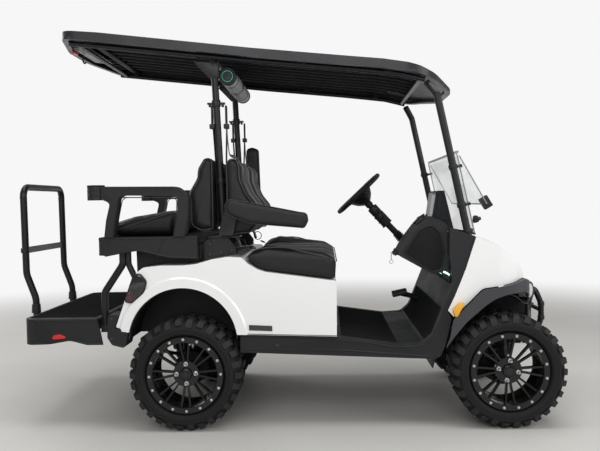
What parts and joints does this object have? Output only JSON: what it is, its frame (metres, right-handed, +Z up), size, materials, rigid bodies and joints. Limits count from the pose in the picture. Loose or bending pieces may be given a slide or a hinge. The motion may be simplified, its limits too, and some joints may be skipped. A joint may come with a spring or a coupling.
{
  "type": "electric golf cart",
  "caption": "Open electric golf cart with a long canopy, a front bench, a rear-facing flip seat, a foot tray with a grab bar and knobbly off-road wheels.",
  "frame": {"origin": "on the ground under the middle of the whole cart's box", "axes": "+X forward, +Y to the cart's left (driver's) side, +Z up"},
  "size_m": [2.952, 1.254, 2.1056],
  "materials": {
    "white_panel": "gloss white",
    "dark_plastic": "textured near-black",
    "flare_plastic": "textured dark grey",
    "black_tube": "satin black powder coat",
    "chassis_metal": "matt black",
    "canopy_plastic": "satin dark grey",
    "vinyl": "black grained vinyl",
    "tyre_rubber": "matt black",
    "wheel_black": "gloss black",
    "clear_pane": "clear",
    "tail_lens": "dark red lens",
    "lamp_lens": "clear lens",
    "grille_grey": "silver grey mesh",
    "battery_case": "matt"
  },
  "bodies": {
    "chassis": {"frame_rails": "chassis_metal", "floor_pan": "dark_plastic", "rear_body": "white_panel", "front_cowl": "white_panel", "front_fascia": "flare_plastic", "dash": "dark_plastic", "dash_display": "dark_plastic", "front_guard": "black_tube", "taillights": "tail_lens", "headlights": "lamp_lens", "rear_bumper": "dark_plastic", "roof_struts": "black_tube", "roof": "canopy_plastic", "roof_rails": "black_tube", "roof_bows": "black_tube", "soundbar": "grille_grey", "windshield": "clear_pane", "windshield_clips": "dark_plastic", "steering_column": "dark_plastic", "pedals": "dark_plastic", "front_seat_cushion": "vinyl", "front_seat_back": "vinyl", "seat_back_frame": "black_tube", "rear_deck": "dark_plastic", "rear_seat_back": "vinyl", "rear_armrests": "dark_plastic", "tray_frame": "black_tube", "deck_legs": "black_tube", "seat_base": "dark_plastic", "flip_hinge": "black_tube", "step_tray": "dark_plastic", "grab_bar": "black_tube", "rear_axle": "chassis_metal", "suspension": "chassis_metal", "wheel_liners": "dark_plastic", "battery_pack": "battery_case"},
    "rear_seat": {"rear_seat_cushion": "vinyl"},
    "armrest_left": {"armrest_left": "vinyl"},
    "armrest_right": {"armrest_right": "vinyl"},
    "knuckle_left": {"knuckle_left": "chassis_metal"},
    "knuckle_right": {"knuckle_right": "chassis_metal"},
    "tie_rod": {"tie_rod": "chassis_metal"},
    "steering_wheel": {"steering_wheel": "dark_plastic"},
    "wheel_front_left": {"tyre_front_left": "tyre_rubber", "rim_front_left": "wheel_black"},
    "wheel_front_right": {"tyre_front_right": "tyre_rubber", "rim_front_right": "wheel_black"},
    "wheel_rear_left": {"tyre_rear_left": "tyre_rubber", "rim_rear_left": "wheel_black"},
    "wheel_rear_right": {"tyre_rear_right": "tyre_rubber", "rim_rear_right": "wheel_black"}
  },
  "joints": [
    {"name": "roll_rear_left", "type": "hinge", "parent": "chassis", "child": "wheel_rear_left", "pos_m": [-0.493, 0.502, 0.292], "axis": [0, 1, 0], "continuous": true},
    {"name": "roll_rear_right", "type": "hinge", "parent": "chassis", "child": "wheel_rear_right", "pos_m": [-0.493, -0.502, 0.292], "axis": [0, 1, 0], "continuous": true},
    {"name": "steer_left", "type": "hinge", "parent": "chassis", "child": "knuckle_left", "pos_m": [1.177, 0.43, 0.292], "axis": [0, 0, 1], "range_deg": [-28, 28]},
    {"name": "steer_right", "type": "hinge", "parent": "chassis", "child": "knuckle_right", "pos_m": [1.177, -0.43, 0.292], "axis": [0, 0, 1], "range_deg": [-28, 28]},
    {"name": "roll_front_left", "type": "hinge", "parent": "knuckle_left", "child": "wheel_front_left", "pos_m": [1.177, 0.494, 0.292], "axis": [0, 1, 0], "continuous": true},
    {"name": "roll_front_right", "type": "hinge", "parent": "knuckle_right", "child": "wheel_front_right", "pos_m": [1.177, -0.494, 0.292], "axis": [0, 1, 0], "continuous": true},
    {"name": "steering_wheel_turn", "type": "hinge", "parent": "chassis", "child": "steering_wheel", "pos_m": [0.4615, 0.3, 1.226], "axis": [-0.6782, 0, 0.7349], "range_deg": [-400, 400]},
    {"name": "tie_rod_slide", "type": "slide", "parent": "chassis", "child": "tie_rod", "axis": [0, 1, 0], "range_m": [-0.056, 0.056]},
    {"name": "armrest_right_lift", "type": "hinge", "parent": "chassis", "child": "armrest_right", "pos_m": [-0.248, -0.55, 1.141], "axis": [0, -1, 0], "range_deg": [0, 97]},
    {"name": "armrest_left_lower", "type": "hinge", "parent": "chassis", "child": "armrest_left", "pos_m": [-0.248, 0.55, 1.141], "axis": [0, 1, 0], "range_deg": [0, 97]},
    {"name": "rear_seat_flip", "type": "hinge", "parent": "chassis", "child": "rear_seat", "pos_m": [-0.958, 0, 1.024], "axis": [0, -1, 0], "range_deg": [0, 180]}
  ],
  "couplings": [
    {"joint": "steer_right", "follows": "steer_left", "ratio": 1},
    {"joint": "steering_wheel_turn", "follows": "steer_left", "ratio": 14},
    {"joint": "tie_rod_slide", "follows": "steer_left", "m_per_rad": -0.11}
  ]
}
